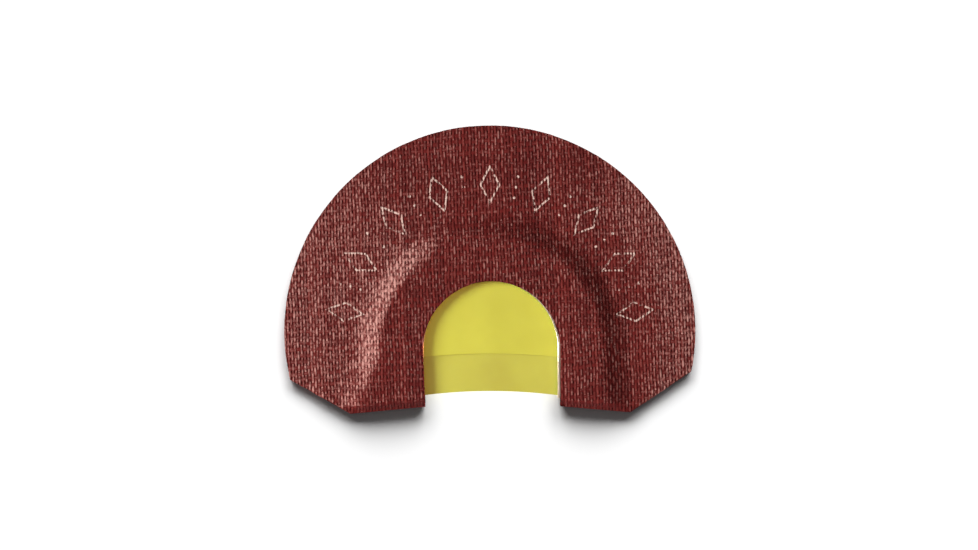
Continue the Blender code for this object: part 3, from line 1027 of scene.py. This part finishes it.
def make_stage(cloth, frame_sheet, reeds):
    """The floor, the lights with what each one falls on, and the studio around them."""
    others = [frame_sheet, *reeds]
    floor = make_floor()

    place = from_angles(*CLOTH_KEY_PLACE)
    cloth_key = make_light("cloth_key", "AREA", place, CLOTH_KEY_POWER, shape="DISK", size=0.3)
    lit_only(cloth_key, "lit_by_cloth_key", cloth)
    place = from_angles(*REED_KEY_PLACE)
    reed_key = make_light("reed_key", "AREA", place, REED_KEY_POWER, shape="DISK", size=0.4)
    lit_only(reed_key, "lit_by_reed_key", others)
    above = make_light("above", "AREA", (0, 0, ABOVE_HEIGHT), ABOVE_POWER, shape="SQUARE", size=2.0)
    above.visible_glossy = False
    lit_only(above, "lit_by_above", cloth + others)
    # The thin latex lets the rear lights through to the floor.
    solid_pieces = collection_of("shades_the_floor", [*cloth, frame_sheet])
    for azimuth in REAR_AZIMUTHS:
        place = from_angles(azimuth, REAR_ELEVATION, 1.0)
        rear = make_light(f"rear_{azimuth}", "SUN", place, REAR_POWER, angle=REAR_SPREAD)
        lit_only(rear, f"lit_by_rear_{azimuth}", [floor])
        rear.light_linking.blocker_collection = solid_pieces
    place = from_angles(*BOUNCE_PLACE)
    bounce = make_light("bounce", "SUN", place, BOUNCE_POWER, angle=BOUNCE_SPREAD)
    bounce.data.color = BOUNCE_COLOUR
    lit_only(bounce, "lit_by_bounce", others)

    world = bpy.data.worlds.new("studio")
    bpy.context.scene.world = world
    world.use_nodes = True
    tree = world.node_tree
    background = tree.nodes["Background"]
    background.inputs["Color"].default_value = colour(1.0, 1.0, 1.0)
    seen = tree.nodes.new("ShaderNodeLightPath")
    strength = tree.nodes.new("ShaderNodeMapRange")
    strength.inputs["To Min"].default_value = STUDIO_LIGHT
    strength.inputs["To Max"].default_value = STUDIO_BACKDROP
    tree.links.new(seen.outputs["Is Camera Ray"], strength.inputs["Value"])
    tree.links.new(strength.outputs[0], background.inputs["Strength"])


# The camera looks straight down. PICTURE_WIDTH is how much of the scene it spans at PICTURE_Z.
PICTURE_CENTRE = (-0.09, -0.59)
PICTURE_WIDTH = 105.7
PICTURE_Z = 1.6


def make_camera():
    """The picture's camera, far enough off that the view is nearly flat."""
    data = bpy.data.cameras.new("camera")
    data.lens = 200.0
    data.sensor_width = 36.0
    camera = bpy.data.objects.new("camera", data)
    bpy.context.scene.collection.objects.link(camera)
    above = PICTURE_WIDTH / data.sensor_width * data.lens
    camera.location = (PICTURE_CENTRE[0] * MM, PICTURE_CENTRE[1] * MM, (above + PICTURE_Z) * MM)
    data.clip_start = 0.01
    data.clip_end = 20.0
    bpy.context.scene.camera = camera


# Build


warp_dark, warp_light = colour(0.074, 0.0066, 0.0063), colour(0.141, 0.0150, 0.0128)
weft_dark, weft_light = colour(0.075, 0.007, 0.007), colour(0.120, 0.012, 0.011)
# Pale tone for the thread crowns: partly rubbed wear, partly painted glint and highlight.
worn_and_glint = colour(0.46, 0.222, 0.190)
warp_cotton = thread_material("warp_cotton", warp_dark, warp_light, worn_and_glint, 0.95, 0.70, 0.25)
weft_cotton = thread_material("weft_cotton", weft_dark, weft_light, worn_and_glint, 0.50, 0.85, 0.10)
backing = backing_material("tape_backing")

upper_threads = [
    make_threads("upper_warp_threads", "warp", UPPER_FACE, WARP_SECTION, 0.215, 11, warp_cotton),
    make_threads("upper_weft_threads", "weft", UPPER_FACE, WEFT_SECTION, 0.116, 12, weft_cotton),
]
lower_threads = [
    make_threads("lower_warp_threads", "warp", LOWER_FACE, PLAIN_SECTION, 0.32, 13, warp_cotton),
    make_threads("lower_weft_threads", "weft", LOWER_FACE, PLAIN_SECTION, 0.173, 14, weft_cotton),
]
upper_cloth = make_backing("upper_cloth", UPPER_FACE, backing)
lower_cloth = make_backing("lower_cloth", LOWER_FACE, backing)
frame_sheet = make_frame(aluminium_material("stamped_aluminium"))
upper_reed = make_reed(
    "upper_reed_film",
    REEDS["upper"],
    latex_material("upper_latex", colour(0.435, 0.455, 0.0435), colour(0.392, 0.407, 0.0365), 0.95),
)
# The lower film's colours are darker than the upper's: painted shade, where a single film shows the
# shade beneath it.
lower_reed = make_reed(
    "lower_reed_film",
    REEDS["lower"],
    latex_material("lower_latex_painted_shade", colour(0.373, 0.392, 0.047), colour(0.332, 0.337, 0.0375), 0.95),
)

for still in (*upper_threads, *lower_threads, upper_cloth, lower_cloth, frame_sheet):
    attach(still, "call")
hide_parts("tape_upper")
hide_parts("tape_lower")
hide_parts("frame")
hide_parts("reed_upper_margin", "reed_upper_tongue")
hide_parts("reed_lower_margin", "reed_lower_tongue")

make_camera()
cloth = [*upper_threads, *lower_threads, upper_cloth, lower_cloth]
make_stage(cloth, frame_sheet, [upper_reed, lower_reed])
bpy.context.scene.view_settings.view_transform = "Standard"
